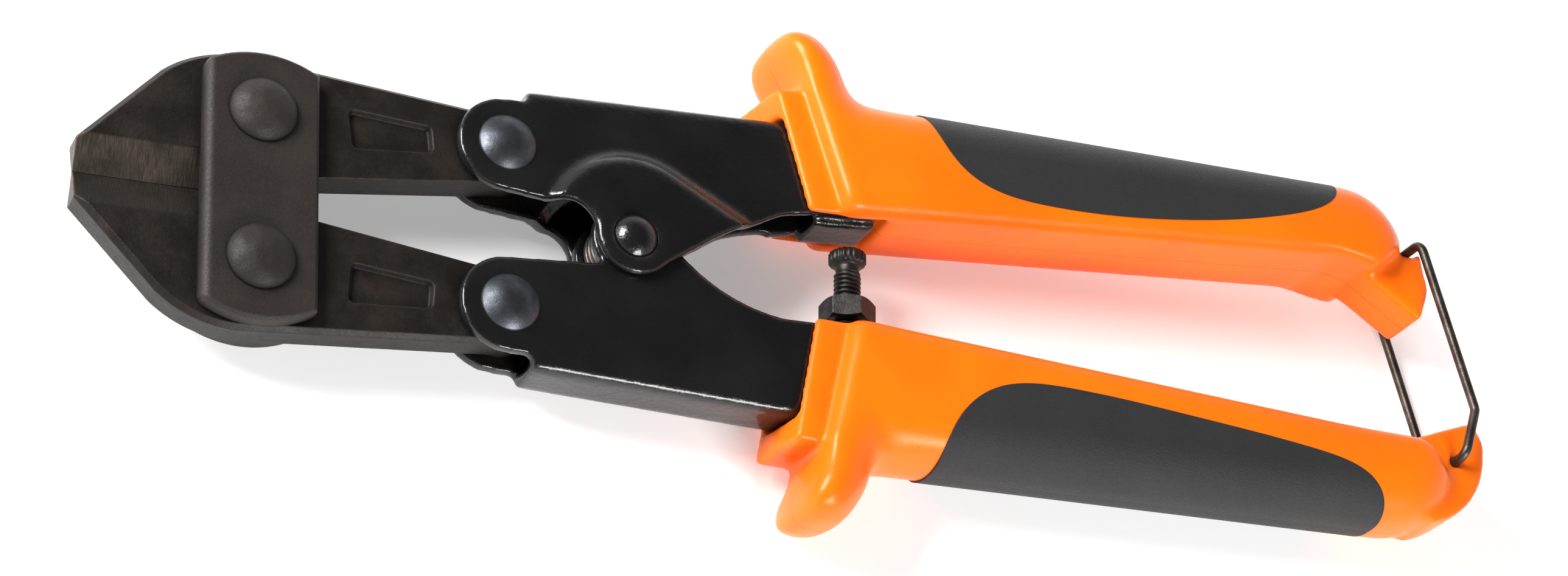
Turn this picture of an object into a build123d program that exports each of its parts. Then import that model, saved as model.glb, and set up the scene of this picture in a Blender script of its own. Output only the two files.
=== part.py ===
from build123d import *
import os
from math import atan2, cos, degrees, radians, sin, tan

# Compact hand bolt cutters, closed and latched, lying flat.
# Working frame: the centre pivot is at 0, 0. +X runs to the handle ends, -X to the jaws,
# +Y to the upper handle, and z = 0 is the tool's mid-plane. Upper and lower pieces mirror in Y.
# Shapes shared by both halves are drawn on the upper side, and mirrored for the lower one.

# ---- Driving dimensions, millimetres ----
PLAY = 0.05                 # sliding clearance between flat plates, and of a pin in its hole
JAW_T = 4.8                 # forged jaw thickness
STRAP_T = 2.4               # strap plate thickness
SHEET_T = 1.8               # pressed frame sheet
STRAP_PIN = (-52.2, 10.7)   # jaw to strap rivet
JAW_PIN = (-17.9, 12.0)     # jaw tail to frame rivet
TIP_X = -76.0               # nose of the jaws
TAIL_X = 137.8              # end of the lower grip
GRIP_HALF = 8.2             # half thickness of the grips, the widest place
COLLAR_HALF = 5.7           # half thickness of the sleeve in front of the guard
BLOCK_HALF = 4.7            # half thickness of the grip end blocks
GRIP_OUT = 28.0             # outer edge of both grips
SHANK_R = 2.5               # jaw and centre rivet shanks
STRAP_SHANK_R = 3.0
THREAD_R = 1.95             # M4 stop screw
WIRE_R = 0.72               # latch wire
BOSS_R = 5.8                # round end of the frames at the centre pivot
LOBE_R = 6.9                # round end of the frames at the jaw rivets
LINK_SLACK = 0.14           # extra room at the upper jaw's tail rivet, where the linkage is opened
HANDLE_SLOPE = 4.0          # how far each grip's inner edge leans out, degrees
LATCH_PIN = (131.8, 16.9)   # latch wire's ends in the lower grip, drawn on the upper side
LATCH_BAR = (129.15, 17.75)  # latch crossbar in the upper grip's notch
LEG_HALF = 7.4              # latch legs from the mid-plane

JAW_HALF = JAW_T / 2
STRAP_IN = JAW_HALF + PLAY
STRAP_OUT = STRAP_IN + STRAP_T
CHEEK_IN = JAW_HALF + 2 * PLAY
CHEEK_OUT = CHEEK_IN + SHEET_T
HUMP = SHEET_T + PLAY        # how far the upper cheeks step out over the lower ones
BOSS_OUT = CHEEK_OUT + HUMP

# The row's frame: origin under the middle of the tool, on the surface it lies on.
TO_ROW = Location((-(TIP_X + TAIL_X) / 2, 0, GRIP_HALF))


# ---- Helpers ----
def prism(outline, low, high):
    """A flat outline in X and Y, from z = low to z = high."""
    return Pos(0, 0, low) * extrude(make_face(outline), amount=high - low, dir=(0, 0, 1))


def polygon(points, low, high):
    return prism(Polyline(*points, close=True), low, high)


def disc(at, radius, low, high):
    return Pos(at[0], at[1], (low + high) / 2) * Cylinder(radius, high - low)


def both_sides(solid):
    """The same shape above and below the mid-plane."""
    return solid + mirror(solid, about=Plane.XY)


def to_lower(solid):
    return mirror(solid, about=Plane.XZ)


def upright_edges(solid, picked):
    """Edges along Z that pass the test on their x and y."""
    return [e for e in solid.edges().filter_by(Axis.Z) if picked(e.center().X, e.center().Y)]


def edges_at(solid, height, picked=lambda x, y: True):
    """Edges lying in the planes z = height and z = -height that pass the test."""
    found = []
    for e in solid.edges():
        box = e.bounding_box()
        flat = box.size.Z < 1e-3 and abs(abs(box.center().Z) - height) < 1e-3
        if flat and picked(e.center().X, e.center().Y):
            found.append(e)
    return found


def domed_rivet(at, shank_r, grip_half, head_r, head_h):
    """A rivet with a low dome at each end, its shank as long as the pack of plates."""
    rim = (head_r, grip_half)
    crown = (0, grip_half + head_h)
    sphere_r = (head_r**2 + head_h**2) / (2 * head_h)
    half_angle = atan2(head_r, sphere_r - head_h) / 2
    middle = (sphere_r * sin(half_angle), grip_half + head_h - sphere_r * (1 - cos(half_angle)))
    profile = make_face(
        [
            Line((0, 0), (shank_r, 0)),
            Line((shank_r, 0), (shank_r, grip_half)),
            Line((shank_r, grip_half), rim),
            ThreePointArc(rim, middle, crown),
            Line(crown, (0, 0)),
        ]
    )
    half = revolve(Plane.XZ * profile, Axis.Z)
    return Pos(at[0], at[1], 0) * both_sides(half)


# ---- Jaws ----
def upper_jaw(tail_hole_r):
    """Forged jaw: straight cutting edge, humped back, arm to the frame and a round tail."""
    shoulder_start = (-65.2, 16.0)
    shoulder_top = (-54.0, 20.1)
    eye_r = 5.2
    edge_y = 0.03
    heel_x = -57.0
    outline = [
        Line((TIP_X, edge_y), (TIP_X, 4.4)),
        Line((TIP_X, 4.4), shoulder_start),
        ThreePointArc(shoulder_start, (-60.3, 19.0), shoulder_top),
        Line(shoulder_top, (JAW_PIN[0], JAW_PIN[1] + eye_r)),
        Line((JAW_PIN[0], JAW_PIN[1] + eye_r), (JAW_PIN[0], JAW_PIN[1] - eye_r)),
        Line((JAW_PIN[0], JAW_PIN[1] - eye_r), (-47.0, 2.8)),
        Line((-47.0, 2.8), (heel_x + 1.5, 0.9)),
        Line((heel_x + 1.5, 0.9), (heel_x, edge_y)),
        Line((heel_x, edge_y), (TIP_X, edge_y)),
    ]
    jaw = prism(outline, -JAW_HALF, JAW_HALF)
    jaw = chamfer(edges_at(jaw, JAW_HALF, lambda x, y: y > 8 and x < -20), 0.7)
    jaw += disc(JAW_PIN, eye_r, -JAW_HALF, JAW_HALF)
    land, bevel_w = 0.2, 5.2
    rise = (JAW_HALF - land) / bevel_w
    wedge = [(-1, land - rise), (bevel_w + 1, JAW_HALF + rise), (-1, JAW_HALF + rise)]
    wedge = extrude(Plane.YZ * make_face(Polyline(*wedge, close=True)), amount=-TIP_X + heel_x - 0.5)
    jaw -= both_sides(Pos(TIP_X - 0.5, 0, 0) * wedge)
    pocket = make_face(Polyline((-39.9, 14.4), (-28.1, 13.6), (-27.8, 9.6), (-39.3, 8.4), close=True))
    pocket = fillet(pocket.vertices(), 0.9)
    pocket = extrude(Pos(0, 0, JAW_HALF) * pocket, amount=-0.8, taper=25)
    jaw -= both_sides(pocket)
    jaw -= disc(STRAP_PIN, STRAP_SHANK_R + PLAY, -JAW_HALF, JAW_HALF)
    return jaw - disc(JAW_PIN, tail_hole_r, -JAW_HALF, JAW_HALF)


def strap():
    """Flat plate with arched ends that ties the two jaws together."""
    half_w, side_y, crown_y = 7.75, 17.3, 19.5
    x = STRAP_PIN[0]
    outline = [
        Line((x - half_w, -side_y), (x - half_w, side_y)),
        ThreePointArc((x - half_w, side_y), (x, crown_y), (x + half_w, side_y)),
        Line((x + half_w, side_y), (x + half_w, -side_y)),
        ThreePointArc((x + half_w, -side_y), (x, -crown_y), (x - half_w, -side_y)),
    ]
    plate = prism(outline, STRAP_IN, STRAP_OUT)
    top = [e for e in plate.edges() if abs(e.bounding_box().min.Z - STRAP_OUT) < 1e-3]
    front = [e for e in top if e.center().X < x - half_w + 0.1]
    plate = fillet(front, 1.4)
    rest = [
        e
        for e in plate.edges()
        if abs(e.bounding_box().min.Z - STRAP_OUT) < 1e-3 and e.center().X > x - half_w + 1.5
    ]
    plate = chamfer(rest, 0.45)
    for y in (STRAP_PIN[1], -STRAP_PIN[1]):
        plate -= disc((x, y), STRAP_SHANK_R, STRAP_IN, STRAP_OUT)
    return plate


# ---- Pressed frames ----
WEB_START = (-14.8, 21.1)   # where the folded web begins
WEB_END = (24.0, 22.9)
TANG_END = (106.0, 23.6)    # the frame runs on inside the grip as a tang
PAD_LOW, PAD_HIGH = 28.6, 38.2


def frame_outline(inner_edge):
    """One cheek: round lobe at the jaw rivet, the given inner edge, tang, and back along the web."""
    x, y = JAW_PIN
    lobe_out, lobe_in = (x, y + LOBE_R), (x, y - LOBE_R)
    tang = [(PAD_LOW - 1.2, 8.4), (PAD_LOW, 8.9), (PAD_HIGH, 9.6), (PAD_HIGH + 0.8, 12.6), (TANG_END[0], 16.8)]
    back = [TANG_END, (PAD_HIGH, 23.3), WEB_END, WEB_START, (WEB_START[0], lobe_out[1] + 0.1), lobe_out]
    return [ThreePointArc(lobe_out, (x - LOBE_R, y), lobe_in), *inner_edge(lobe_in, tang[0]), Polyline(*tang, *back)]


def frame_channel(outline):
    """Two cheeks joined by the folded web, with a rounded fold."""
    envelope = prism(outline, -CHEEK_OUT, CHEEK_OUT)
    folds = edges_at(envelope, CHEEK_OUT, lambda x, y: y > 21 and x > WEB_START[0])
    envelope = fillet(folds, 1.7)
    inside = [
        (WEB_START[0] - 20, -30),
        (WEB_START[0] - 20, 40),
        (WEB_START[0], 40),
        (WEB_START[0], WEB_START[1] - SHEET_T),
        (WEB_END[0], WEB_END[1] - SHEET_T),
        (TANG_END[0] + 5, TANG_END[1] - SHEET_T),
        (TANG_END[0] + 5, -30),
    ]
    return envelope - polygon(inside, -CHEEK_IN, CHEEK_IN)


def pad_flange():
    """The tab folded across the channel: the screw's seat below, its strike pad above."""
    tab = Box(PAD_HIGH - PAD_LOW, SHEET_T, CHEEK_OUT + JAW_HALF)
    tab = fillet(tab.edges().filter_by(Axis.X).group_by(Axis.Y)[0], 0.6)
    middle = Pos((PAD_LOW + PAD_HIGH) / 2, 8.1 + SHEET_T / 2, (JAW_HALF - CHEEK_OUT) / 2)
    return middle * Rot(0, 0, HANDLE_SLOPE) * tab


def lower_inner_edge(lobe_in, tang_start):
    """Lobe's inner side, the round end at the pivot, and the concave sweep to the tang."""
    left = (-BOSS_R * cos(radians(44)), BOSS_R * sin(radians(44)))
    right = (BOSS_R * cos(radians(8)), -BOSS_R * sin(radians(8)))
    sweep_end = (22.3, 8.5)
    return [
        Line(lobe_in, left),
        ThreePointArc(left, (0, -BOSS_R), right),
        ThreePointArc(right, (12.0, 4.9), sweep_end),
        Line(sweep_end, tang_start),
    ]


def lower_frame():
    """Lower pressed channel, drawn on the upper side and mirrored down."""
    frame = frame_channel(frame_outline(lower_inner_edge)) + pad_flange()
    frame -= disc((0, 0), SHANK_R + PLAY, -CHEEK_OUT, CHEEK_OUT)
    frame -= disc(JAW_PIN, SHANK_R, -CHEEK_OUT, CHEEK_OUT)
    return to_lower(frame) - on_screw_axis(Cylinder(THREAD_R + PLAY, 6), 0)


def upper_inner_edge(lobe_in, tang_start):
    """Lobe's inner side, the boss that laps over the lower frame, and the strike pad's lead-in."""
    corner = (-8.8, 4.1)
    left = (-BOSS_R * cos(radians(6)), BOSS_R * sin(radians(6)))
    right = (BOSS_R * cos(radians(40)), -BOSS_R * sin(radians(40)))
    bottom = (-BOSS_R * cos(radians(80)), -BOSS_R * sin(radians(80)))
    return [
        Line(lobe_in, corner),
        ThreePointArc(corner, (-7.0, 3.0), left),
        ThreePointArc(left, bottom, right),
        Polyline(right, (12.1, 1.5), (17.4, 4.6), (23.2, 7.6), tang_start),
    ]


def hump(reach, low):
    """The raised stamping round the pivot: a round crown that runs out towards the handle."""
    run = 6.3
    ramp = [
        (0, 0),
        (0, -reach),
        (reach + run, -reach),
        (reach + run, 0.32 * reach),
        (reach * cos(radians(62)), reach * sin(radians(62))),
    ]
    foot = make_face(Polyline(*ramp, close=True)) + Circle(reach)
    return extrude(Pos(0, 0, low) * foot, amount=HUMP, taper=48)


def upper_frame():
    outline = frame_outline(upper_inner_edge)
    frame = frame_channel(outline)
    crown = hump(13.2, CHEEK_OUT) & prism(outline, CHEEK_OUT - 0.5, BOSS_OUT)
    frame += both_sides(crown)
    frame -= both_sides(hump(12.4, CHEEK_IN))
    frame -= both_sides(disc((0, 0), 3.8, BOSS_OUT - 0.35, BOSS_OUT))
    frame -= prism(rear_scallop(), -BOSS_OUT, -CHEEK_IN)
    frame += pad_flange()
    frame -= disc((0, 0), SHANK_R, -BOSS_OUT, BOSS_OUT)
    return frame - disc(JAW_PIN, SHANK_R, -CHEEK_OUT, CHEEK_OUT)


def rear_scallop():
    """The rear cheek is cut back beside the pivot, so the open gap is the same as on the lower frame."""
    start, finish = (4.9, -3.1), (23.9, 8.1)
    return [ThreePointArc(start, (13.4, 4.7), finish), Polyline(finish, (23.9, -3.1), start)]


# ---- Stop screw and lock nut ----
SCREW_FOOT = (33.8, -8.1)    # where the screw's axis crosses the seat
SCREW_TOP = 13.2             # head's top above the seat
NUT_LOW, NUT_T, NUT_AF = 1.9, 3.2, 7.0


def on_screw_axis(solid, at):
    """Place a solid drawn along Z on the stop screw's axis, at this height over the seat."""
    lean = Rot(0, 0, -HANDLE_SLOPE) * Rot(-90, 0, 0)
    return Pos(SCREW_FOOT[0], SCREW_FOOT[1], 0) * lean * Pos(0, 0, at) * solid


def stop_screw():
    """M4 screw with a knurled cheese head."""
    head_r, knurl_h, neck_h, flutes = 2.72, 1.9, 0.7, 18
    shank_low, tip_chamfer = -7.5, 0.5
    head_low = SCREW_TOP - knurl_h
    knurl = Pos(0, 0, head_low + knurl_h / 2) * Cylinder(head_r, knurl_h)
    knurl = chamfer(knurl.edges().group_by(Axis.Z)[-1], 0.3)
    grooves = [
        Rot(0, 0, 360 * i / flutes) * Pos(head_r + 0.1, 0, head_low + knurl_h / 2) * Cylinder(0.28, knurl_h)
        for i in range(flutes)
    ]
    neck = Pos(0, 0, head_low - neck_h / 2) * Cone(THREAD_R, head_r - 0.25, neck_h)
    length = head_low - neck_h - shank_low
    shank = Pos(0, 0, shank_low + length / 2) * Cylinder(THREAD_R, length)
    shank = chamfer(shank.edges().group_by(Axis.Z)[0], tip_chamfer)
    return on_screw_axis((knurl - grooves) + neck + shank, 0)


def stop_lock_nut():
    """M4 hexagon nut with both faces chamfered."""
    corner_r = NUT_AF / 2 / cos(radians(30))
    nut = extrude(RegularPolygon(corner_r, 6), amount=NUT_T)
    slope = corner_r - NUT_AF / 2
    bicone = Pos(0, 0, NUT_T / 2) * both_ends_chamfered(corner_r, NUT_T, slope)
    nut = Rot(0, 0, 35) * (nut & bicone) - Pos(0, 0, NUT_T / 2) * Cylinder(THREAD_R + PLAY, NUT_T)
    return on_screw_axis(nut, NUT_LOW)


def both_ends_chamfered(radius, height, size):
    blank = Cylinder(radius, height)
    return chamfer(blank.edges(), size * tan(radians(30)), size)


# ---- Grips ----
FRONT_LOW, FRONT_HIGH = (31.9, 7.97), (24.2, 36.6)   # front edge of the guard, seen flat on
BACK_HIGH, BACK_LOW = (31.3, 35.4), (35.6, GRIP_OUT)  # back of the finger stop, down to the neck
STOP_TOP = 38.4
ROUND_R = 7.4                # rounding of the grips' backs
STOP_ROUND_R = 6.8           # rounding of the finger stops


def rounded_slab(length, width, thickness, radius):
    """A slab along +X whose far side, at y = 0, is rounded over; it reaches back to -Y."""
    slab = Pos(length / 2, -width / 2, 0) * Box(length, width, thickness)
    return fillet(slab.edges().filter_by(Axis.X).group_by(Axis.Y)[-1], radius)


def grip_envelope(end_x, turn_r):
    """Everything the grip's rounded back, its rounded end and the finger stop may fill."""
    thick = 2 * GRIP_HALF
    back = Pos(FRONT_LOW[0], GRIP_OUT, 0) * rounded_slab(end_x - FRONT_LOW[0], GRIP_OUT, thick, ROUND_R)
    end = Pos(end_x, GRIP_OUT - turn_r, 0) * Cylinder(turn_r, thick)
    end = fillet(end.edges().filter_by(GeomType.CIRCLE), ROUND_R)
    stop_top = Pos(10, STOP_TOP, 0) * rounded_slab(50, 40, thick, STOP_ROUND_R)
    lean = degrees(atan2(BACK_LOW[1] - BACK_HIGH[1], BACK_LOW[0] - BACK_HIGH[0]))
    stop_back = Pos(*BACK_HIGH, 0) * Rot(0, 0, lean) * Pos(-15, 0, 0) * rounded_slab(60, 40, thick, STOP_ROUND_R)
    return back + end + (stop_top & stop_back)


def grip_body(bend, wall_low, wall_high, end_x):
    """One moulded handle: flat inside, round outside, finger stop in front, slanted wall at the end."""
    dx, dy = wall_high[0] - end_x, GRIP_OUT - wall_high[1]
    turn_r = (dx**2 + dy**2) / (2 * dy)
    plan = [
        Polyline(FRONT_LOW, bend, wall_low, wall_high, (wall_high[0], GRIP_OUT), BACK_LOW, BACK_HIGH),
        ThreePointArc(BACK_HIGH, (27.6, STOP_TOP), FRONT_HIGH),
        Line(FRONT_HIGH, FRONT_LOW),
    ]
    body = prism(plan, -GRIP_HALF, GRIP_HALF)
    inner = edges_at(body, GRIP_HALF, lambda x, y: y < 12 and x > FRONT_LOW[0] + 5)
    body = fillet(inner, 2.4)
    body &= grip_envelope(end_x, turn_r)
    ridge = edges_at(body, GRIP_HALF, lambda x, y: x < FRONT_LOW[0] and y > FRONT_LOW[1] + 2)
    return fillet(ridge, 1.6)


def collar():
    """The sleeve that closes on the frame in front of the guard; its back half stands further forward."""
    front = [(26.8, 8.1), (36.0, 8.5), (36.0, 27.4), (22.4, 27.4)]
    rear = [(24.9, 8.1), (36.0, 8.5), (36.0, 27.4), (20.5, 27.4)]
    faces = [
        Pos(0, 0, z) * make_face(Polyline(*points, close=True))
        for z, points in ((COLLAR_HALF, front), (-COLLAR_HALF, rear))
    ]
    sleeve = loft(faces, ruled=True)
    return fillet(edges_at(sleeve, COLLAR_HALF, lambda x, y: x < 35.9), 0.9)


def hollow_for_tang(outline):
    """Room for the frame's tang and its tab, and the open mouth over the tab."""
    mouth = [(20, 6), (PAD_HIGH + 1.2, 6), (PAD_HIGH + 1.2, 10.4), (20, 10.4)]
    return prism(outline, -CHEEK_OUT, CHEEK_OUT) + polygon(mouth, -CHEEK_OUT, CHEEK_OUT)


def upper_grip_blank():
    notch_floor = LATCH_BAR[1] - WIRE_R - PLAY
    block = [
        (120.5, 12.3),
        (129.6, 5.9),
        (131.9, 11.4),
        (131.3, 17.6),
        (130.5, 17.6),
        (130.1, notch_floor),
        (127.4, notch_floor),
        (126.5, 19.0),
        (118.0, 24.0),
    ]
    block = polygon(block, -BLOCK_HALF, BLOCK_HALF)
    block = fillet(upright_edges(block, lambda x, y: x > 129 and y < 12), 0.5)
    return grip_body((115.0, 14.1), (121.4, 12.8), (128.5, 18.9), 117.5) + collar() + block


def lower_grip_blank():
    tail = [
        Polyline((120.0, 25.5), (123.0, 14.4), (130.8, 11.6), (136.4, 9.7), (TAIL_X, 13.0)),
        ThreePointArc((TAIL_X, 13.0), (135.4, 21.2), (126.5, 27.2)),
        Line((126.5, 27.2), (120.0, 25.5)),
    ]
    tail = prism(tail, -BLOCK_HALF, BLOCK_HALF)
    tail = fillet(upright_edges(tail, lambda x, y: x > 136 and y < 12), 0.9)
    solid = grip_body((112.0, 13.9), (124.8, 14.4), (131.2, 20.8), 121.0) + collar() + tail
    return solid - disc(LATCH_PIN, WIRE_R + PLAY, -GRIP_HALF, GRIP_HALF)


UPPER_INLAY = [(45.8, 29), (46.2, 24), (51.3, 16.5), (64.3, 13.4), (86, 14.7), (105, 18.5), (114.4, 23.4), (116.2, 29)]
LOWER_INLAY = [(44.8, 29), (45.8, 23), (52.0, 17.0), (64.9, 15.3), (85, 17.1), (103.6, 19.4), (115, 23.4), (118, 29)]


def inlay_region(edge_points):
    """The patch of rubber over a grip's back and sides."""
    rubber_t = 1.6
    edge = Spline(*edge_points)
    patch = prism([edge, Line(edge_points[-1], edge_points[0])], -GRIP_HALF, GRIP_HALF)
    core = rounded_slab(TAIL_X, GRIP_OUT, 2 * (GRIP_HALF - rubber_t), ROUND_R - rubber_t)
    return patch - Pos(0, GRIP_OUT - rubber_t, 0) * core


def grip_pair(blank, frame_edges, inlay_edge):
    """The hard grip shell and its rubber inlay."""
    grip = blank - hollow_for_tang(frame_edges)
    patch = inlay_region(inlay_edge)
    return grip - patch, grip & patch


# ---- Latch wire, spring and pivot fasteners ----
def latch_wire():
    """One bent wire: two legs, the crossbar between them, and ends turned into the lower grip."""
    pin = (LATCH_PIN[0], -LATCH_PIN[1])
    knee = (134.7, -9.3)
    end_z = 2.6
    half = [(*pin, end_z), (*pin, LEG_HALF), (*knee, LEG_HALF), (*LATCH_BAR, LEG_HALF)]
    path = FilletPolyline(*half, *[(x, y, -z) for x, y, z in reversed(half)], radius=1.6)
    section_at = Plane(origin=half[0], z_dir=(0, 0, 1))
    return sweep(section_at * Circle(WIRE_R), path=path)


def opening_spring():
    """Torsion spring on the pivot bush; its legs push the two frames' webs apart."""
    wire_r, coil_r, pitch, leg_angle, leg_length = 0.5, 4.4, 1.08, 35, 27.0
    leave = 180 - leg_angle - 20
    start = 360 - leave
    turns = 3 + (start - leave) / 360
    height = pitch * turns
    coil = Rot(0, 0, start) * Helix(pitch, height, coil_r, lefthand=True)
    coil = Pos(0, 0, -height / 2) * coil
    spring = sweep(Plane(origin=coil @ 0, z_dir=coil % 0) * Circle(wire_r), path=coil, is_frenet=True)
    for end, side in ((coil @ 0, -1), (coil @ 1, 1)):
        away = Vector(cos(radians(leg_angle)), side * sin(radians(leg_angle)), 0)
        spring += spring_leg(end, end + away * leg_length, wire_r)
    return spring


def spring_leg(start, end, radius):
    run = Line(start, end)
    return sweep(Plane(origin=start, z_dir=run % 0) * Circle(radius), path=run) + Pos(start) * Sphere(radius)


def pivot_bush():
    """Spacer tube that keeps the lower cheeks apart and carries the spring."""
    return Cylinder(3.6, 2 * CHEEK_IN) - Cylinder(SHANK_R + PLAY, 2 * CHEEK_IN)


# ---- Write each piece ----
def save(name, solid):
    export_step(TO_ROW * solid, f"parts/{name}.step")


def main():
    os.makedirs("parts", exist_ok=True)
    lower_edges = frame_outline(lower_inner_edge)
    upper_edges = frame_outline(upper_inner_edge)
    upper_grip, upper_inlay = grip_pair(upper_grip_blank(), upper_edges, UPPER_INLAY)
    lower_grip, lower_inlay = grip_pair(lower_grip_blank(), lower_edges, LOWER_INLAY)
    lower_pin = (JAW_PIN[0], -JAW_PIN[1])
    lower_strap_pin = (STRAP_PIN[0], -STRAP_PIN[1])
    front_strap = strap()
    pieces = {
        "upper_jaw": upper_jaw(SHANK_R + LINK_SLACK),
        "lower_jaw": to_lower(upper_jaw(SHANK_R + PLAY)),
        "front_strap": front_strap,
        "rear_strap": mirror(front_strap, about=Plane.XY),
        "upper_strap_rivet": domed_rivet(STRAP_PIN, STRAP_SHANK_R, STRAP_OUT, 4.6, 1.9),
        "lower_strap_rivet": domed_rivet(lower_strap_pin, STRAP_SHANK_R, STRAP_OUT, 4.6, 1.9),
        "upper_jaw_rivet": domed_rivet(JAW_PIN, SHANK_R, CHEEK_OUT, 4.15, 1.7),
        "lower_jaw_rivet": domed_rivet(lower_pin, SHANK_R, CHEEK_OUT, 4.15, 1.7),
        "centre_rivet": domed_rivet((0, 0), SHANK_R, BOSS_OUT - 0.35, 3.1, 1.5),
        "pivot_bush": pivot_bush(),
        "opening_spring": opening_spring(),
        "upper_frame": upper_frame(),
        "lower_frame": lower_frame(),
        "upper_grip": upper_grip,
        "lower_grip": to_lower(lower_grip),
        "upper_grip_inlay": upper_inlay,
        "lower_grip_inlay": to_lower(lower_inlay),
        "stop_screw": stop_screw(),
        "stop_lock_nut": stop_lock_nut(),
        "latch_wire": latch_wire(),
    }
    for name, solid in pieces.items():
        save(name, solid)


main()
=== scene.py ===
# %% [markdown]
# # Mini bolt cutters: looks for a finished frame
# The tool is already built as CAD: every lever, rivet and screw is a node with its true size and
# place. Blender's job is the finish. Nodes whose shape is right keep their mesh and get a worn,
# grained material. Pieces that CAD leaves too plain, such as the screw with its thread, are made
# again here and stand in for them.

# %% Load the frame
import math

import bmesh
import bpy
import numpy as np
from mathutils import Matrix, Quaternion, Vector, noise


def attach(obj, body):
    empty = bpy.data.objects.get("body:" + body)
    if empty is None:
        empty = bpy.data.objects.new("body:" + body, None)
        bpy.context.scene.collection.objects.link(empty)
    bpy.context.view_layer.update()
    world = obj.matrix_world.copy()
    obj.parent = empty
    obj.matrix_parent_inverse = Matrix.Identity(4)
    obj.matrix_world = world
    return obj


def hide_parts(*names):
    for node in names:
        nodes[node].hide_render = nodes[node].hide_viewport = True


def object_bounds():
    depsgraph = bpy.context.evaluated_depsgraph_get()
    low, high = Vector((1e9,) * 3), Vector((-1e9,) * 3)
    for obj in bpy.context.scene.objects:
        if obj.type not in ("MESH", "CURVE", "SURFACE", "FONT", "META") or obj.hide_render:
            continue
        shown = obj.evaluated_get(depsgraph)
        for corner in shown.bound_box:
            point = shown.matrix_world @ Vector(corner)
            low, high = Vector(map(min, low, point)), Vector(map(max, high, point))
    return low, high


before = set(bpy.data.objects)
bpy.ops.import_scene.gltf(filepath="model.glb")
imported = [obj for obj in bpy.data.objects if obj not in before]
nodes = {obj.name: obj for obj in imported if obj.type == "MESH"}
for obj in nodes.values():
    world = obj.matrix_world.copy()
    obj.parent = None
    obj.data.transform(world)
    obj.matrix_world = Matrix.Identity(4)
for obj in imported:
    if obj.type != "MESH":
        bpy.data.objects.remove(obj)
cad_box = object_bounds()
scene = bpy.context.scene
PIVOT_X = -30.9     # the middle rivet along the tool, in millimetres of the row frame
MID_HEIGHT = 8.2    # the plane in which the two halves of the tool meet, in millimetres
MM = 0.001
print("nodes", len(nodes), "length in mm", round((cad_box[1].x - cad_box[0].x) / MM, 1))

# %% [markdown]
# ## Camera
# The tool lies flat, and is seen from above its left end, looking down at about 55 degrees. A
# camera is placed by a point and a turn. The turn is given as one axis and one angle, which is
# shorter than three Euler angles and has no order to get wrong. The lens is a mild telephoto, as in
# catalogue work.

# %% Set the camera
eye = Vector((-0.18998, -0.20101, 0.39091))
turn = Vector((0.4435642, -0.4273726, 0.0432061))
lens_mm = 76.86

camera = bpy.data.objects.new("camera", bpy.data.cameras.new("camera"))
scene.collection.objects.link(camera)
camera.location = eye
camera.rotation_mode = "QUATERNION"
camera.rotation_quaternion = Quaternion(turn.normalized(), turn.length)
camera.data.sensor_width = 36.0
camera.data.sensor_fit = "HORIZONTAL"
camera.data.lens = lens_mm
camera.data.clip_start = 0.01
camera.data.clip_end = 10.0
scene.camera = camera
right = camera.rotation_quaternion @ Vector((1, 0, 0))
up = camera.rotation_quaternion @ Vector((0, 1, 0))
back = camera.rotation_quaternion @ Vector((0, 0, 1))
print("camera height in mm", round(eye.z / MM), "looking", [round(v, 2) for v in -back])

# %% [markdown]
# ## Floor and light
# Gloss paint shows its shape only through what it reflects, so the lamps matter more than the
# paint. A wide soft box stands at the upper left and a smaller one low at the right, so each dome
# shows two soft spots. A pale floor and bright walls fill the shadows, and the plain colour
# transform keeps the orange clean.

# %% Lay the floor and hang the lamps
scene.view_settings.view_transform = "Standard"
centre = (cad_box[0] + cad_box[1]) / 2


def soft_box(name, direction, distance, width, height, watts):
    """A rectangular lamp that looks at the middle of the tool."""
    lamp = bpy.data.lights.new(name, "AREA")
    lamp.shape = "RECTANGLE"
    lamp.size = width
    lamp.size_y = height
    lamp.energy = watts
    holder = bpy.data.objects.new(name, lamp)
    scene.collection.objects.link(holder)
    way = direction.normalized()
    holder.location = centre + way * distance
    holder.rotation_mode = "QUATERNION"
    holder.rotation_quaternion = (-way).to_track_quat("-Z", "Y")
    holder.visible_camera = False
    return holder


def plain_floor(half, height):
    """One large pale sheet just under the tool."""
    mesh = bpy.data.meshes.new("floor")
    signs = ((-1, -1), (1, -1), (1, 1), (-1, 1))
    corners = [(x * half, y * half, height) for x, y in signs]
    mesh.from_pydata(corners, [], [(0, 1, 2, 3)])
    floor = bpy.data.objects.new("floor", mesh)
    scene.collection.objects.link(floor)
    paper = bpy.data.materials.new("white_paper")
    paper.use_nodes = True
    shader = paper.node_tree.nodes["Principled BSDF"]
    shader.inputs["Base Color"].default_value = (0.93, 0.93, 0.93, 1)
    shader.inputs["Roughness"].default_value = 0.9
    shader.inputs["Emission Color"].default_value = (1, 1, 1, 1)
    shader.inputs["Emission Strength"].default_value = 0.32
    mesh.materials.append(paper)
    return floor


plain_floor(half=3.0, height=-0.4 * MM)


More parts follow.
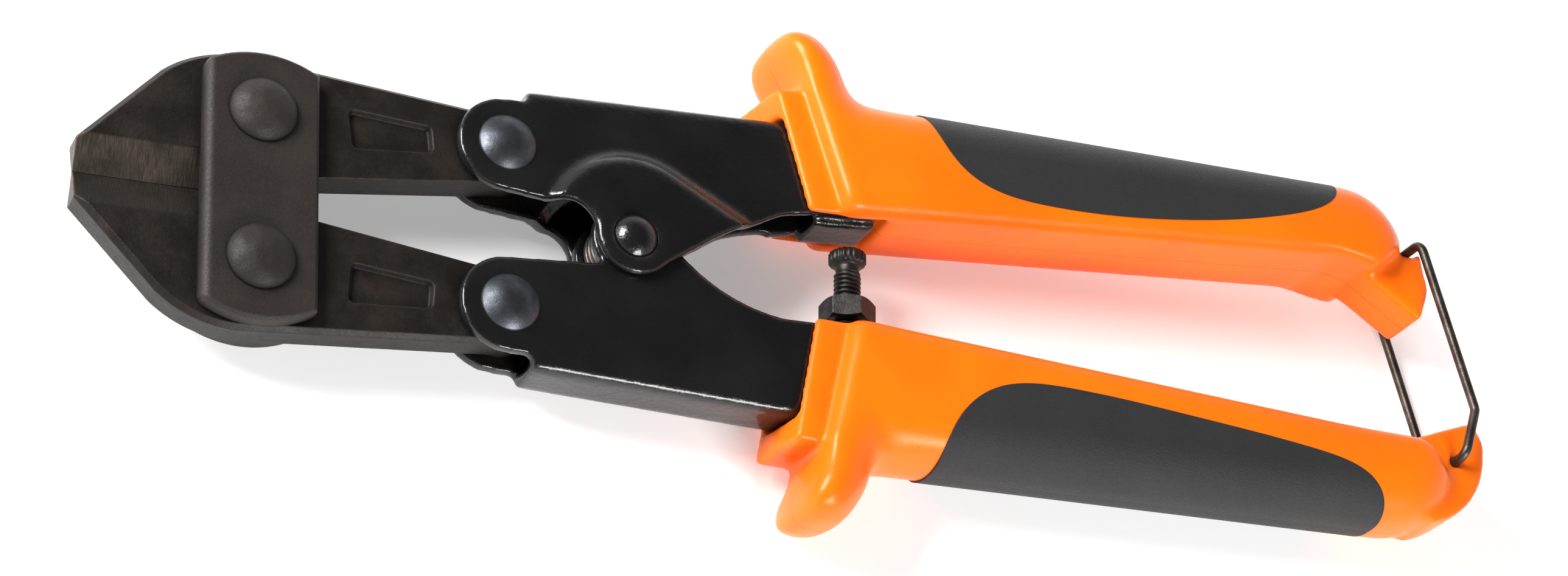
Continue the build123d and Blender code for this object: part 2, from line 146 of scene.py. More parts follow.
def studio_walls(wall, ceiling):
    """Bright walls and a dark ceiling: flat gloss faces stay black and rounded edges catch the walls."""
    world = bpy.data.worlds.new("studio")
    world.use_nodes = True
    tree = world.node_tree
    place = tree.nodes.new("ShaderNodeTexCoord")
    split = tree.nodes.new("ShaderNodeSeparateXYZ")
    height = tree.nodes.new("ShaderNodeMapRange")
    height.interpolation_type = "SMOOTHSTEP"
    limits = (("From Min", 0.25), ("From Max", 0.75), ("To Min", wall), ("To Max", ceiling))
    for socket, value in limits:
        height.inputs[socket].default_value = value
    tree.links.new(place.outputs["Generated"], split.inputs["Vector"])
    tree.links.new(split.outputs["Z"], height.inputs["Value"])
    tree.links.new(height.outputs["Result"], tree.nodes["Background"].inputs["Strength"])
    tree.nodes["Background"].inputs["Color"].default_value = (1, 1, 1, 1)
    scene.world = world


studio_walls(wall=0.80, ceiling=0.08)
key_way = -right * 0.62 + up * 0.80 + back * 0.80
side_way = right * 0.55 - up * 0.75 + back * 0.75
soft_box("key_box", key_way, distance=0.75, width=0.40, height=0.26, watts=11.0)
soft_box("side_box", side_way, distance=0.80, width=0.34, height=0.20, watts=6.0)

# %% [markdown]
# ## A small kit for finishes
# Every finish below is the same idea: a base colour, a little unevenness in colour and gloss, fine
# relief, and wear where edges stick out. The wear mask compares the true surface direction with one
# that is rounded over the edges: where they differ, there is an edge. It needs no painting and
# works on any mesh.

# %% Helpers for node materials
def finish(name, colour, roughness, metallic=0.0):
    """A new material; constants go straight on the shader's sockets."""
    made = bpy.data.materials.new(name)
    made.use_nodes = True
    shader = made.node_tree.nodes["Principled BSDF"]
    shader.inputs["Base Color"].default_value = (*colour, 1)
    shader.inputs["Roughness"].default_value = roughness
    shader.inputs["Metallic"].default_value = metallic
    return made, shader


def node(made, kind, **settings):
    """Adds a node; settings that name an input socket set its value."""
    n = made.node_tree.nodes.new(kind)
    for key, value in settings.items():
        if key in n.inputs:
            n.inputs[key].default_value = value
        else:
            setattr(n, key, value)
    return n


def wire(made, out_socket, in_socket):
    """Links one socket to another."""
    made.node_tree.links.new(out_socket, in_socket)


def grain(made, size, detail=3.0, rough=0.55, stretch=(1, 1, 1)):
    """Noise in the row frame; size is the width of one grain in metres."""
    place = node(made, "ShaderNodeTexCoord")
    squeeze = node(made, "ShaderNodeMapping")
    squeeze.inputs["Scale"].default_value = stretch
    clouds = node(made, "ShaderNodeTexNoise", Scale=1.0 / size, Detail=detail, Roughness=rough)
    wire(made, place.outputs["Object"], squeeze.inputs["Vector"])
    wire(made, squeeze.outputs["Vector"], clouds.inputs["Vector"])
    return clouds.outputs["Fac"]


def ramp(made, source, low, high, value_low=0.0, value_high=1.0):
    """Maps a source between low and high to new values, eased at both ends."""
    band = node(made, "ShaderNodeMapRange", interpolation_type="SMOOTHSTEP")
    limits = (("From Min", low), ("From Max", high), ("To Min", value_low), ("To Max", value_high))
    for socket, value in limits:
        band.inputs[socket].default_value = value
    wire(made, source, band.inputs["Value"])
    return band.outputs["Result"]


def combine(made, a, b, operation="MULTIPLY"):
    """One sum on two sockets or numbers, a product unless told otherwise."""
    n = node(made, "ShaderNodeMath", operation=operation)
    for value, socket in ((a, n.inputs[0]), (b, n.inputs[1])):
        if isinstance(value, (int, float)):
            socket.default_value = value
        else:
            wire(made, value, socket)
    return n.outputs[0]


def open_sky(made, reach, low=0.45, high=0.95):
    """1 where a spot sees the open, 0 deep in a crevice that is narrower than reach."""
    shade = node(made, "ShaderNodeAmbientOcclusion", samples=8)
    shade.inputs["Distance"].default_value = reach
    return ramp(made, shade.outputs["AO"], low, high)


def edge_mask(made, radius, low=0.02, high=0.25):
    """1 along edges that stick out, within the radius, and 0 on open faces and in folded corners."""
    rounded = node(made, "ShaderNodeBevel", samples=6, Radius=radius)
    true = node(made, "ShaderNodeNewGeometry")
    dot = node(made, "ShaderNodeVectorMath", operation="DOT_PRODUCT")
    wire(made, rounded.outputs["Normal"], dot.inputs[0])
    wire(made, true.outputs["Normal"], dot.inputs[1])
    turned = combine(made, 1.0, dot.outputs["Value"], "SUBTRACT")
    return combine(made, ramp(made, turned, low, high), open_sky(made, radius * 2, 0.7, 0.95))


def between(made, axis, low, high, soft=0.0002):
    """1 where a point's X, Y or Z lies between two values in metres, with soft ends."""
    place = node(made, "ShaderNodeTexCoord")
    split = node(made, "ShaderNodeSeparateXYZ")
    wire(made, place.outputs["Object"], split.inputs["Vector"])
    above = ramp(made, split.outputs[axis], low - soft, low + soft)
    below = ramp(made, split.outputs[axis], high - soft, high + soft, 1.0, 0.0)
    return combine(made, above, below)


def mould_seam(made):
    """1 along the line where the two halves of a mould meet."""
    half_width = 0.07 * MM
    middle = MID_HEIGHT * MM
    return between(made, "Z", middle - half_width, middle + half_width, 0.04 * MM)


def blend_colour(made, mask, colour_a, colour_b):
    """Mixes two colours, each a tuple or a socket, by a mask."""
    mix = node(made, "ShaderNodeMix", data_type="RGBA")
    first, second, result = mix.inputs[6], mix.inputs[7], mix.outputs[2]
    wire(made, mask, mix.inputs[0])
    for value, socket in ((colour_a, first), (colour_b, second)):
        if isinstance(value, tuple):
            socket.default_value = (*value, 1)
        else:
            wire(made, value, socket)
    return result


def relief(made, shader, heights, soft_edge=None):
    """Chains bumps, each a socket and its depth in metres; a soft edge radius rounds sharp corners."""
    last = None
    if soft_edge:
        rounded = node(made, "ShaderNodeBevel", samples=6, Radius=soft_edge)
        last = rounded.outputs["Normal"]
    for height, depth in heights:
        bump = node(made, "ShaderNodeBump", Strength=1.0, Distance=depth)
        wire(made, height, bump.inputs["Height"])
        if last is not None:
            wire(made, last, bump.inputs["Normal"])
        last = bump.outputs["Normal"]
    wire(made, last, shader.inputs["Normal"])


def paint_nodes(made, *names):
    """Gives CAD nodes a finish through their own material slots."""
    for name in names:
        for place in nodes[name].material_slots:
            place.material = made


print("kit ready")

# %% [markdown]
# ## Forged steel: the jaws
# The jaws are forged, hardened and blackened in oil, so they are a warm brown black with a dull,
# slightly greasy sheen. Scale leaves fine pits. Edges that rub, above all the tips and the cutting
# edges, wear to paler steel. The cutting bevels are ground last: a band along the edge, found by
# its place, gets fine streaks and a paler, brighter colour. That paler colour is also painted light:
# it is strong on the upper bevel, which faces the big lamp side, and the lower bevel, which faces
# away, is painted darker as painted shade.

# %% Finish for the jaws
CREVICE_SHADE = (0.004, 0.0035, 0.003)    # painted shade: the colour that corners and crevices of the dark steel are darkened to


def forged_steel(name, bevel_grind_and_light):
    """The blackened jaw steel; the second argument sets how strongly the paler colour shows on the bevel:
    partly real grinding, partly painted light on the upper jaw and painted shade on the lower.
    """
    made, shader = finish(name, (0.018, 0.014, 0.011), 0.45, 0.12)
    shader.inputs["Specular IOR Level"].default_value = 0.26
    beyond_tip, bevel_end, tip_end = -120 * MM, -89.5 * MM, -105.6 * MM
    bevel_half_width = 4.9 * MM
    cloud = grain(made, 6 * MM, 4, 0.6)
    fine = grain(made, 0.35 * MM, 4, 0.7)
    scratches = grain(made, 0.6 * MM, 3, 0.6, (9, 0.8, 0.8))
    edge = edge_mask(made, 0.5 * MM)
    rub = combine(made, edge, ramp(made, grain(made, 2 * MM, 3), 0.35, 0.65, 0.15, 0.8))

    # scale, then drawn scratches
    dark_scale, light_scale = (0.0078, 0.0056, 0.0042), (0.0140, 0.0102, 0.0077)
    body = blend_colour(made, ramp(made, cloud, 0.35, 0.7), dark_scale, light_scale)
    body = blend_colour(made, ramp(made, scratches, 0.60, 0.74, 0.0, 0.4), body, (0.028, 0.021, 0.016))

    # the ground bevel: its streaks are real grinding, and its paler colour is partly grinding and partly
    # painted light, kept low on the lower jaw as painted shade
    bevel_length = between(made, "X", beyond_tip, bevel_end, 1.2 * MM)
    bevel_width = between(made, "Y", -bevel_half_width, bevel_half_width, 0.2 * MM)
    bevel = combine(made, bevel_length, bevel_width)
    streaks = grain(made, 1.1 * MM, 3, 0.65, (7, 0.6, 0.6))
    polish = combine(made, bevel, ramp(made, streaks, 0.30, 0.72, 0.30, 1.0))
    polish = combine(made, polish, ramp(made, grain(made, 4 * MM, 3), 0.3, 0.65, 0.35, 1.0))
    # Painted light and shade: the paler bevel colour is scaled by the second argument, full on the upper jaw
    # and low on the lower.
    body = blend_colour(made, combine(made, polish, bevel_grind_and_light), body, (0.048, 0.037, 0.028))

    # a warm stain at the very tips, worn edges, dirt in the corners
    tip_length = between(made, "X", beyond_tip, tip_end, 1.2 * MM)
    tips = combine(made, tip_length, ramp(made, grain(made, 3 * MM, 3), 0.4, 0.65, 0.0, 0.5))
    body = blend_colour(made, combine(made, tips, edge), body, (0.42, 0.24, 0.11))
    body = blend_colour(made, rub, body, (0.055, 0.041, 0.031))
    # Painted shade: the colour goes darker where ambient occlusion finds a corner or crevice.
    body = blend_colour(made, open_sky(made, 1.6 * MM), CREVICE_SHADE, body)
    wire(made, body, shader.inputs["Base Color"])
    gloss = ramp(made, combine(made, fine, cloud), 0.1, 0.45, 0.38, 0.56)
    wire(made, gloss, shader.inputs["Roughness"])
    grinding = combine(made, streaks, bevel)
    relief(made, shader, [(fine, 0.05 * MM), (grinding, 0.06 * MM), (cloud, 0.2 * MM)], 0.35 * MM)
    return made


# Lit and shaded copies: the upper jaw's bevel is painted light, and the lower jaw's bevel is painted shade.
paint_nodes(forged_steel("forged_steel", 1.0), "upper_jaw")
paint_nodes(forged_steel("forged_steel_shaded", 0.12), "lower_jaw")
print("jaws finished")

# %% [markdown]
# ## Strap steel: the two straps and their rivets
# The straps are blanked from flat bar and oxide blackened: a grey brown, more even and more matte
# than the jaws. Their rivets are hammered over, so their domes have shallow dents that are larger
# than the grain of the steel.

# %% Finish for the straps
def strap_steel(name, dents):
    """The blackened bar of the straps; dents adds the fine marks of a hammer."""
    made, shader = finish(name, (0.030, 0.025, 0.022), 0.5, 0.12)
    shader.inputs["Specular IOR Level"].default_value = 0.28
    cloud = grain(made, 9 * MM, 4, 0.6)
    fine = grain(made, 0.28 * MM, 4, 0.7)
    edge = edge_mask(made, 0.7 * MM)
    rub = combine(made, edge, ramp(made, grain(made, 1.5 * MM, 3), 0.35, 0.62, 0.2, 0.9))
    dark_oxide, light_oxide = (0.0160, 0.0122, 0.0100), (0.0225, 0.0175, 0.0146)
    body = blend_colour(made, ramp(made, cloud, 0.35, 0.7), dark_oxide, light_oxide)
    body = blend_colour(made, rub, body, (0.050, 0.044, 0.040))
    # Painted shade: the colour goes darker where ambient occlusion finds a corner or crevice.
    body = blend_colour(made, open_sky(made, 2 * MM), CREVICE_SHADE, body)
    wire(made, body, shader.inputs["Base Color"])
    wire(made, ramp(made, fine, 0.3, 0.7, 0.44, 0.62), shader.inputs["Roughness"])
    heights = [(fine, 0.05 * MM)]
    if dents:
        heights.append((grain(made, 0.7 * MM, 2, 0.5), 0.04 * MM))
    relief(made, shader, heights, 0.45 * MM)
    return made


paint_nodes(strap_steel("strap_steel", False), "front_strap", "rear_strap")
hammered_steel = strap_steel("hammered_rivet", True)
print("straps finished")

# %% [markdown]
# ## Rivet steel: the two rivets through the jaws and frames
# These are pressed, not hammered, and left brighter: a blue grey steel with a satin gloss and a few
# faint blotches.

# %% Finish for the bright rivets
def rivet_steel():
    """Bright pressed steel."""
    made, shader = finish("rivet_steel", (0.10, 0.105, 0.115), 0.34, 0.9)
    cloud = grain(made, 2.8 * MM, 4, 0.6)
    fine = grain(made, 0.3 * MM, 4, 0.7)
    body = blend_colour(made, ramp(made, cloud, 0.38, 0.66), (0.045, 0.048, 0.055), (0.085, 0.090, 0.102))
    wire(made, body, shader.inputs["Base Color"])
    wire(made, ramp(made, cloud, 0.35, 0.7, 0.44, 0.36), shader.inputs["Roughness"])
    waves = grain(made, 1.6 * MM, 2, 0.5)
    relief(made, shader, [(fine, 0.03 * MM), (waves, 0.03 * MM)], 0.3 * MM)
    return made


paint_nodes(rivet_steel(), "upper_jaw_rivet", "lower_jaw_rivet")
print("bright rivets finished")

# %% [markdown]
# ## Frame paint: the two folded frames and the middle rivet
# The frames are pressed from sheet and dipped in gloss black. Such paint has orange peel, a fine
# waviness under the gloss, and it draws thin on sharp edges. The middle rivet is painted with them.
# The gloss is a clear coat over a rougher base, which gives one sharp and one soft highlight, as
# real paint does.

# %% Finish for the frames
def frame_paint():
    """Gloss black dip paint over folded sheet."""
    made, shader = finish("frame_paint", (0.006, 0.006, 0.0065), 0.30)
    shader.inputs["Specular IOR Level"].default_value = 0.30
    shader.inputs["Coat Weight"].default_value = 0.40
    shader.inputs["Coat Roughness"].default_value = 0.09
    shader.inputs["Coat IOR"].default_value = 1.42
    peel = grain(made, 1 * MM, 2, 0.5)
    dust = grain(made, 0.22 * MM, 3, 0.6)
    edge = edge_mask(made, 0.35 * MM, 0.05, 0.3)
    deep_black, soft_black = (0.0045, 0.0045, 0.005), (0.009, 0.0085, 0.0085)
    body = blend_colour(made, ramp(made, grain(made, 20 * MM, 3), 0.35, 0.7), deep_black, soft_black)
    thin = combine(made, edge, ramp(made, grain(made, 3 * MM, 3), 0.45, 0.7, 0.0, 0.6))
    body = blend_colour(made, thin, body, (0.05, 0.035, 0.028))
    wire(made, body, shader.inputs["Base Color"])
    wire(made, ramp(made, dust, 0.35, 0.75, 0.20, 0.32), shader.inputs["Roughness"])
    relief(made, shader, [(peel, 0.10 * MM), (dust, 0.012 * MM)])
    return made


frame_finish = frame_paint()
paint_nodes(frame_finish, "centre_rivet")
print("frames finished")

# %% [markdown]
# ## Dark oxide and spring wire
# The stop screw, its nut and the bush are turned and oxide blackened. The latch and the spring are
# bent from drawn wire, which keeps a fine grain and a brown grey skin.

# %% Finish for small hardware
def oxide_steel():
    """Turned steel, oxide blackened, with bare metal on rubbed edges."""
    made, shader = finish("oxide_steel", (0.030, 0.027, 0.025), 0.40, 0.7)
    cloud = grain(made, 2 * MM, 4, 0.6)
    fine = grain(made, 0.3 * MM, 4, 0.7)
    patches = ramp(made, grain(made, 1 * MM, 3), 0.3, 0.6, 0.3, 1.0)
    rub = combine(made, edge_mask(made, 0.3 * MM), patches)
    body = blend_colour(made, ramp(made, cloud, 0.35, 0.7), (0.020, 0.018, 0.017), (0.050, 0.045, 0.042))
    body = blend_colour(made, rub, body, (0.16, 0.15, 0.14))
    wire(made, body, shader.inputs["Base Color"])
    wire(made, ramp(made, fine, 0.3, 0.7, 0.32, 0.5), shader.inputs["Roughness"])
    relief(made, shader, [(fine, 0.04 * MM)], 0.2 * MM)
    return made


def wire_steel():
    """Drawn spring wire."""
    made, shader = finish("wire_steel", (0.055, 0.046, 0.038), 0.38, 0.85)
    cloud = grain(made, 4 * MM, 4, 0.6)
    fine = grain(made, 0.3 * MM, 4, 0.7)
    body = blend_colour(made, ramp(made, cloud, 0.35, 0.7), (0.045, 0.036, 0.029), (0.10, 0.088, 0.075))
    wire(made, body, shader.inputs["Base Color"])
    wire(made, ramp(made, fine, 0.3, 0.7, 0.30, 0.48), shader.inputs["Roughness"])
    relief(made, shader, [(fine, 0.03 * MM)])
    return made


oxide = oxide_steel()
paint_nodes(oxide, "stop_lock_nut", "pivot_bush")
paint_nodes(wire_steel(), "latch_wire", "opening_spring")
print("hardware finished")

# %% [markdown]
# ## The stop screw
# A rolled M4 thread and a coarse straight knurl are what make this small part look real. Both are
# one surface that turns round the screw's axis: its radius at each angle and height is the mean
# radius plus the wave of the thread, or of the knurl. Drawing it point by point gives a clean
# closed mesh, which a screw modifier would not cap so well.

# %% Cut the screw
def mesh_piece(name, rings, material, body, replaced):
    """A closed turned piece from rings of points, each ring with the same number of points."""
    count = len(rings[0])
    points = [p for ring in rings for p in ring]
    faces = []
    for level in range(len(rings) - 1):
        low, high = level * count, (level + 1) * count
        for i in range(count):
            j = (i + 1) % count
            faces.append((low + i, low + j, high + j, high + i))
    points.append(sum(rings[0], Vector()) / count)
    points.append(sum(rings[-1], Vector()) / count)
    first_hub, last_hub = len(points) - 2, len(points) - 1
    last_ring = (len(rings) - 1) * count
    for i in range(count):
        j = (i + 1) % count
        faces.append((first_hub, j, i))
        faces.append((last_hub, last_ring + i, last_ring + j))
    mesh = bpy.data.meshes.new(name)
    mesh.from_pydata([tuple(p) for p in points], [], faces)
    mesh.shade_smooth()
    mesh.materials.append(material)
    piece = bpy.data.objects.new(name, mesh)
    scene.collection.objects.link(piece)
    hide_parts(replaced)
    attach(piece, body)
    return piece


SCREW_FOOT = (33.8 + PIVOT_X, -8.1)      # where the screw stands in the row frame, in millimetres
SCREW_LEAN = 4                           # degrees, as the handle leans
PITCH, CORE_R, CREST_R = 0.70, 1.52, 1.95
THREAD_LOW, THREAD_HIGH = -7.5, 10.2     # the threaded length, measured from the foot
STEPS_PER_TURN = 14
HEAD_LOW, HEAD_HIGH, HEAD_R = 11.3, 13.2, 2.72
RIBS, RIB_DEPTH, RIM_CHAMFER = 20, 0.22, 0.25
SCREW_FACETS = 160


def screw_profile():
    """Heights in millimetres, each with a radius or with the kind of surface that is found there."""
    step = PITCH / STEPS_PER_TURN
    levels = int((THREAD_HIGH - THREAD_LOW) / step) + 1
    thread = [(THREAD_LOW + k * step, "thread") for k in range(levels)]
    waist = [(10.35, 1.70), (10.6, 1.66), (10.95, 1.75), (11.15, 2.05), (11.2, 2.2)]
    head = [(HEAD_LOW + 0.05, "rim"), (HEAD_LOW + 0.3, "knurl"), (HEAD_LOW + 0.9, "knurl"),
            (HEAD_HIGH - 0.35, "knurl"), (HEAD_HIGH - 0.1, "rim"), (HEAD_HIGH - 0.02, 2.1), (HEAD_HIGH, 1.6)]
    return thread + waist + head


def screw_radius(kind, height, turn_share):
    """The radius at one height and at one share of a turn."""
    if kind == "thread":
        phase = (height / PITCH - turn_share) % 1.0
        tooth = min(1.0, max(0.0, 2.6 * abs(phase - 0.5) - 0.15))
        fade = min(1.0, (height - THREAD_LOW) / 0.6 + 0.05, (THREAD_HIGH - height) / 0.5 + 0.05)
        return CORE_R + (CREST_R - CORE_R) * tooth * fade
    if kind in ("knurl", "rim"):
        rib = 0.5 + 0.5 * math.cos(2 * math.pi * turn_share * RIBS)
        return HEAD_R - RIB_DEPTH * (1 - rib ** 0.6) - (RIM_CHAMFER if kind == "rim" else 0)
    return kind


def stop_screw():
    """M4 screw with a knurled head, standing on the lower handle and leaning with it."""
    lean = math.radians(SCREW_LEAN)
    axis = Vector((math.sin(lean), math.cos(lean), 0))
    foot = Vector((*SCREW_FOOT, MID_HEIGHT)) * MM
    side, front = Vector((axis.y, -axis.x, 0)), Vector((0, 0, 1))
    rings = []
    for height, kind in screw_profile():
        ring = []
        for i in range(SCREW_FACETS):
            angle = 2 * math.pi * i / SCREW_FACETS
            spoke = side * math.cos(angle) + front * math.sin(angle)
            radius = screw_radius(kind, height, i / SCREW_FACETS)
            ring.append(foot + (axis * height + spoke * radius) * MM)
        rings.append(ring)
    return mesh_piece("threaded_screw", rings, oxide, "screw", "stop_screw")


screw_piece = stop_screw()
print("screw points", len(screw_piece.data.vertices))

# %% [markdown]
# ## The hammered strap rivets
# A head that is hammered over is fuller than a pressed one: it rises steeply from its rim to a
# broad crown, and each blow leaves a shallow dent. The head is a turned form whose crown follows a
# blunt curve, and smooth noise that is taken from each point's own place pushes the surface in and
# out a little.

# %% Hammer the rivet heads
PIN_ALONG, PIN_ACROSS = -52.2 + PIVOT_X, 10.7      # the strap rivets in the row frame, in millimetres
RIM_R, SHANK_R = 4.6, 3.0
SEAT, CROWN = 4.86, 2.45       # where the head sits, measured from mid height, and how high it rises
DOME_LEVELS, RIVET_FACETS = 22, 96
DENT_GRAIN, DENT_DEPTH = 0.62, 0.13


def rivet_profile():
    """Heights and radii of both heads, from the back crown to the front crown."""
    dome = []
    for k in range(DOME_LEVELS):
        t = k * math.pi / 2 / DOME_LEVELS
        dome.append((SEAT + 0.02 + CROWN * math.sin(t) ** 1.12, RIM_R * math.cos(t)))
    front = [(SEAT, SHANK_R), (SEAT, RIM_R - 0.25)] + dome
    return [(-z, r) for z, r in reversed(front)] + front


def hammered_rivet(name, source, pin_y):
    """Two blunt domes on one shank through strap, jaw and strap."""
    middle = Vector((PIN_ALONG, pin_y, MID_HEIGHT)) * MM
    own_dents = middle * 900       # a far place in the noise, so that each rivet has other dents
    rings = []
    for height, radius in rivet_profile():
        proud = max(0.0, (abs(height) - SEAT) / CROWN)
        ring = []
        for i in range(RIVET_FACETS):
            angle = -2 * math.pi * i / RIVET_FACETS
            at = Vector((radius * math.cos(angle), radius * math.sin(angle), height))
            dent = noise.noise(at * DENT_GRAIN + own_dents) * DENT_DEPTH * proud ** 0.7
            at += at.normalized() * (dent - 0.06 * proud)
            ring.append(middle + at * MM)
        rings.append(ring)
    return mesh_piece(name, rings, hammered_steel, "straps", source)


for place, pin_y in (("upper", PIN_ACROSS), ("lower", -PIN_ACROSS)):
    rivet = hammered_rivet(f"{place}_hammered_rivet", f"{place}_strap_rivet", pin_y)
    crown_at = max(v.co.z for v in rivet.data.vertices) / MM
    print(rivet.name, "crown in mm", round(crown_at, 2))

# %% [markdown]
# ## Grip shell: hard orange plastic
# The shells are moulded over the frame tails in a gloss orange plastic. Light goes a little way in
# and comes back redder, so a touch of subsurface scatter is used. The mould leaves a very fine
# waviness and a few scuffs.

# %% Finish for the shells
def grip_shell():
    """Gloss orange plastic."""
    made, shader = finish("grip_shell", (0.93, 0.155, 0.004), 0.33)
    shader.inputs["Specular IOR Level"].default_value = 0.36
    shader.inputs["Specular Tint"].default_value = (1.0, 0.74, 0.45, 1)
    shader.inputs["Subsurface Weight"].default_value = 0.12
    shader.inputs["Subsurface Radius"].default_value = (1.0, 0.25, 0.05)
    shader.inputs["Subsurface Scale"].default_value = 1.2 * MM
    shader.inputs["Coat Weight"].default_value = 0.08
    shader.inputs["Coat Roughness"].default_value = 0.2
    cloud = grain(made, 20 * MM, 3, 0.5)
    fine = grain(made, 0.4 * MM, 3, 0.6)
    wave = grain(made, 5 * MM, 2, 0.4)
    scuff = grain(made, 1.5 * MM, 4, 0.7, (0.6, 3.0, 3.0))
    deep_orange, light_orange = (0.92, 0.135, 0.0025), (0.97, 0.160, 0.003)
    body = blend_colour(made, ramp(made, cloud, 0.3, 0.7), deep_orange, light_orange)
    body = blend_colour(made, ramp(made, scuff, 0.68, 0.8, 0.0, 0.25), body, (0.80, 0.20, 0.04))
    wire(made, ramp(made, fine, 0.3, 0.7, 0.28, 0.40), shader.inputs["Roughness"])
    seam = mould_seam(made)
    body = blend_colour(made, combine(made, seam, 0.35), body, (0.50, 0.055, 0.001))
    wire(made, body, shader.inputs["Base Color"])
    groove = combine(made, 1.0, seam, "SUBTRACT")
    relief(made, shader, [(wave, 0.10 * MM), (fine, 0.010 * MM), (groove, 0.08 * MM)], 0.5 * MM)
    return made


shell_plastic = grip_shell()
print("shell finish ready")

# %% [markdown]
# ## Moulded shells
# Plastic from a mould has no sharp corners: the finger stop is a thumb shape that flows into the
# handle in a hollow curve. CAD fillets on such a form are slow and fragile. Here the CAD shell and
# its inlay are welded into one skin by a voxel remesh, and the skin is relaxed: each point moves to
# the mean of its neighbours, a few times on the collar and many times on the finger stop and the
# neck, so the rounding grows where the real part is rounder. Relaxing also shrinks a form that
# sticks out, so the finger stop is first made a little larger.

# %% Mould the shells from their CAD nodes
COLLAR_HIGH = 5.9           # the collar's face above mid height, in millimetres
SHELL_VOXEL = 0.4 * MM
UNDER_INLAY = 0.05 * MM     # how far the skin lies below the inlay that it also went round


def smooth_step(value, low, high):
    """0 below low and 1 above high, eased between; with low above high it falls."""
    t = np.clip((value - low) / (high - low), 0, 1)
    return t * t * (3 - 2 * t)


def weld(name, sources, voxel):
    """One closed skin round several closed meshes."""
    joined = bmesh.new()
    for source in sources:
        joined.from_mesh(nodes[source].data)
    mesh = bpy.data.meshes.new(name)
    joined.to_mesh(mesh)
    joined.free()
    piece = bpy.data.objects.new(name, mesh)
    scene.collection.objects.link(piece)
    skin = piece.modifiers.new("weld", "REMESH")
    skin.mode = "VOXEL"
    skin.voxel_size = voxel
    skin.use_smooth_shade = True
    graph = bpy.context.evaluated_depsgraph_get()
    ready = bpy.data.meshes.new_from_object(piece.evaluated_get(graph))
    piece.modifiers.clear()
    piece.data = ready
    return piece


def points_of(mesh, what="co"):
    """The places, or the normals, of a mesh's points as one array."""
    flat = np.zeros(len(mesh.vertices) * 3)
    mesh.vertices.foreach_get(what, flat)
    return flat.reshape(-1, 3)


def move_points(mesh, points):
    """Puts the points of a mesh at new places."""
    mesh.vertices.foreach_set("co", points.ravel())
    mesh.update()


def tool_places(points):
    """Millimetres along the tool from the middle rivet, across from its axis, and up from mid height."""
    along = points[:, 0] * 1000 - PIVOT_X
    across = np.abs(points[:, 1]) * 1000
    depth = points[:, 2] * 1000 - MID_HEIGHT
    return along, across, depth


def stand_in(piece, material, body, replaced):
    """Gives a new piece its finish and puts it in the place of a CAD node."""
    piece.data.materials.clear()
    piece.data.materials.append(material)
    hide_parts(replaced)
    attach(piece, body)
    print(piece.name, "faces", len(piece.data.polygons))


def relax(mesh, points, rounds):
    """Moves each point to the mean of its neighbours, as many times as its own entry in rounds says."""
    pairs = np.zeros(len(mesh.edges) * 2, int)
    mesh.edges.foreach_get("vertices", pairs)
    a, b = pairs.reshape(-1, 2).T
    count = np.bincount(np.concatenate([a, b]), minlength=len(points))[:, None]
    for step in range(int(rounds.max())):
        total = np.zeros_like(points)
        for axis in range(3):
            total[:, axis] += np.bincount(a, points[b, axis], len(points))
            total[:, axis] += np.bincount(b, points[a, axis], len(points))
        share = 0.8 * np.clip(rounds - step, 0, 1)[:, None]
        points = points + share * (total / count - points)
    return points


def moulded_shell(name, shell, inlay, body):
    """The orange shell of one handle, rounded as moulded, a hair below the inlay that sits in it."""
    piece = weld(name, [shell, inlay], SHELL_VOXEL)
    mesh = piece.data
    points = points_of(mesh)
    along, across, depth = tool_places(points)

    # where the shell is roundest: the finger stop, the neck beside it and the ridge of the collar
    stop = smooth_step(across, 26.0, 31.0) * smooth_step(along, 52.0, 40.0)
    neck = smooth_step(across, 24.5, 28.0) * smooth_step(along, 54.0, 44.0) * smooth_step(along, 29.0, 33.0)
    ridge = smooth_step(along, 26.5, 29.0) * smooth_step(depth, COLLAR_HIGH, 6.6)
    swell = smooth_step(across, 28.5, 33.0) * smooth_step(along, 46.0, 40.0)

    # the finger stop is swollen against the shrinking, then everything is relaxed
    points[:, 1] += np.sign(points[:, 1]) * 0.2 * MM * smooth_step(across, 31.0, 38.0)
    points[:, 0] += MM * swell * (0.30 * (along - 27.0) - 0.6 + 0.07 * depth)
    points[:, 2] += MM * swell * 0.13 * depth
    rounds = 5 + 8 * smooth_step(along, 34.0, 40.0) + 12 * ridge + 85 * np.maximum(stop, neck)
    points = relax(mesh, points, rounds)
    move_points(mesh, points)
    points -= points_of(mesh, "normal") * UNDER_INLAY
    move_points(mesh, points)
    stand_in(piece, shell_plastic, body, shell)


moulded_shell("upper_shell", "upper_grip", "upper_grip_inlay", "upper_handle")
moulded_shell("lower_shell", "lower_grip", "lower_grip_inlay", "lower_handle")

# %% [markdown]
# ## Pressed frames
# Sheet that has been folded and drawn has soft bends, and thick paint rounds its cut edges further,
# which is why each edge shows a bright line. The same weld and relax is used: a little everywhere,
# and much more along the folded web and where the middle boss is drawn up out of the front cheek of
# the upper frame.

# %% Press the frames from their CAD nodes
FRAME_VOXEL = 0.3 * MM


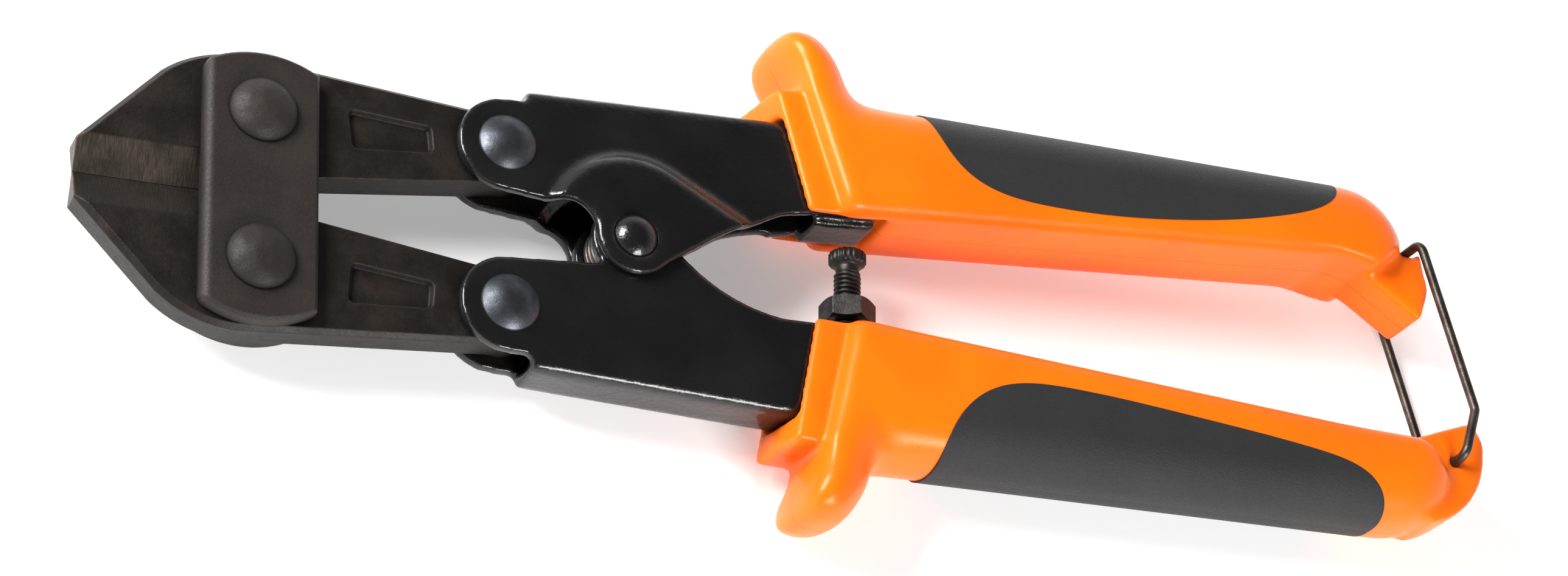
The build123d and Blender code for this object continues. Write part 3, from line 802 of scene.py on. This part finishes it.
def pressed_frame(name, source, body, boss_rounds):
    """One painted frame; boss_rounds is how much rounder its drawn boss is than its other edges."""
    piece = weld(name, [source], FRAME_VOXEL)
    mesh = piece.data
    points = points_of(mesh)
    along, across, depth = tool_places(points)
    fold = smooth_step(across, 16.5, 19.0) * smooth_step(along, -16.5, -13.5)
    boss = smooth_step(along, -13.0, -9.0) * smooth_step(along, 30.0, 24.0) * smooth_step(across, 18.0, 15.0)
    boss *= smooth_step(depth, 1.8, 2.6)
    points = relax(mesh, points, 5 + 16 * fold + boss_rounds * boss)
    move_points(mesh, points)
    stand_in(piece, frame_finish, body, source)


pressed_frame("upper_pressed_frame", "upper_frame", "upper_handle", boss_rounds=16)
pressed_frame("lower_pressed_frame", "lower_frame", "lower_handle", boss_rounds=0)

# %% [markdown]
# ## Grip rubber: the dark inlays
# The inlays are a softer rubber with a fine spark grain from the mould. It looks dark grey, with a
# broad soft sheen.

# %% Finish for the inlays
def grip_rubber():
    """Dark grey rubber with a spark grain."""
    made, shader = finish("grip_rubber", (0.009, 0.009, 0.009), 0.62)
    shader.inputs["Specular IOR Level"].default_value = 0.4
    shader.inputs["Sheen Weight"].default_value = 0.05
    shader.inputs["Sheen Roughness"].default_value = 0.5
    pores = grain(made, 0.26 * MM, 3, 0.7)
    cloud = grain(made, 12 * MM, 3, 0.5)
    dark_rubber, light_rubber = (0.0068, 0.0068, 0.0070), (0.0098, 0.0096, 0.0094)
    body = blend_colour(made, ramp(made, cloud, 0.3, 0.7), dark_rubber, light_rubber)
    body = blend_colour(made, ramp(made, pores, 0.62, 0.78, 0.0, 0.5), body, (0.028, 0.026, 0.024))
    wire(made, body, shader.inputs["Base Color"])
    wire(made, ramp(made, pores, 0.3, 0.7, 0.52, 0.70), shader.inputs["Roughness"])
    seam = mould_seam(made)
    groove = combine(made, 1.0, seam, "SUBTRACT")
    relief(made, shader, [(pores, 0.14 * MM), (groove, 0.08 * MM)], 0.3 * MM)
    return made


paint_nodes(grip_rubber(), "upper_grip_inlay", "lower_grip_inlay")
print("inlays finished")
